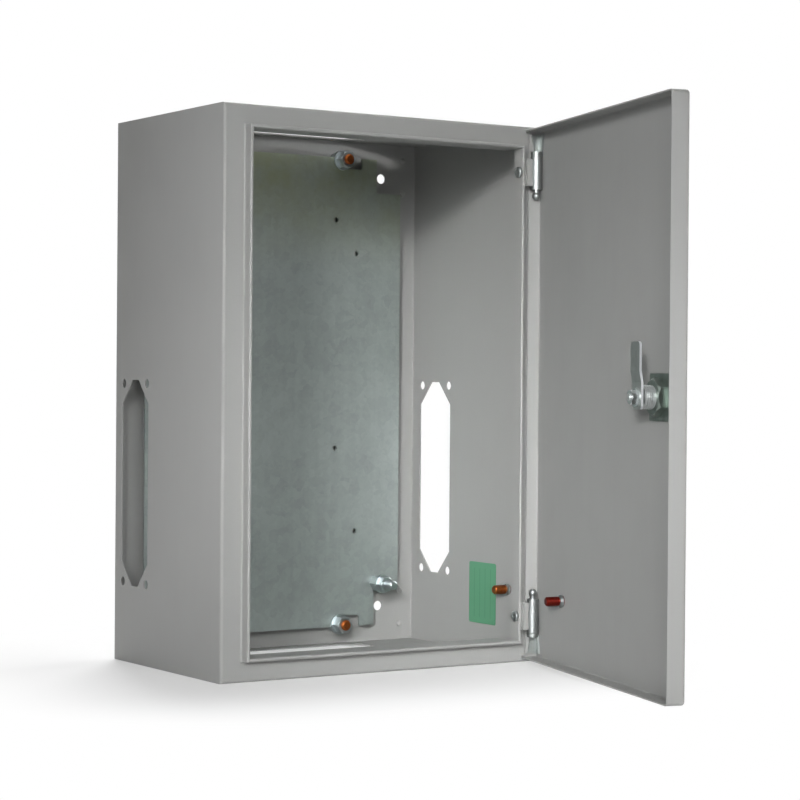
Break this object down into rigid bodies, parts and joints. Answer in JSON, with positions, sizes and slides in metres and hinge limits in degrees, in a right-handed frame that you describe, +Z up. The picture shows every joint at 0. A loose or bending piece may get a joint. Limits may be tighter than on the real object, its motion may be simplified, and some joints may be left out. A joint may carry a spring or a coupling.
{
  "type": "wall-mounted electrical enclosure",
  "caption": "Grey sheet-steel wall enclosure with an overlay door on concealed hinges, a cam lock, a galvanised mounting plate and bevelled gland openings.",
  "frame": {"origin": "centre of the wall-hole pattern, on the back face", "axes": "+X to the right seen from the front, +Y to the wall, +Z up"},
  "size_m": [0.4, 0.6371, 0.6],
  "materials": {
    "grey_paint": "fine-textured powder coat",
    "galvanised": "spangled hot-dip zinc",
    "zinc": "bright zinc plating",
    "cast_zinc": "dull zinc die casting",
    "copper": "copper-flashed steel"
  },
  "bodies": {
    "cabinet": {"body_wrap": "grey_paint", "top_panel": "grey_paint", "bottom_panel": "grey_paint", "mounting_plate": "galvanised", "plate_studs": "copper", "plate_spacers": "zinc", "plate_washers": "zinc", "plate_nuts": "zinc", "earth_bolt": "zinc", "earth_bolt_base_nut": "zinc", "earth_bolt_washers": "zinc", "earth_bolt_clamp_nut": "zinc", "wall_earth_stud": "copper", "wall_stud_washer": "zinc", "hinge_barrel_upper": "zinc", "hinge_barrel_lower": "zinc", "hinge_screws": "zinc"},
    "door": {"door_pan": "grey_paint", "hinge_arm_upper": "zinc", "hinge_arm_lower": "zinc", "hinge_pin_upper": "zinc", "hinge_pin_lower": "zinc", "door_earth_stud": "copper", "door_stud_washer": "zinc", "lock_housing": "cast_zinc", "lock_backplate": "zinc", "lock_nut": "cast_zinc"},
    "lock_core": {"lock_spindle": "cast_zinc", "lock_cam": "zinc", "cam_washer": "zinc", "cam_nut": "zinc"}
  },
  "joints": [
    {"name": "door_hinge", "type": "hinge", "parent": "cabinet", "child": "door", "pos_m": [0.1889, -0.263, 0], "axis": [0, 0, 1], "range_deg": [-74.5, 45.5]},
    {"name": "lock_turn", "type": "hinge", "parent": "door", "child": "lock_core", "pos_m": [0.11031, -0.58044, 0], "axis": [0.9636, -0.2672, 0], "range_deg": [0, 90]}
  ]
}
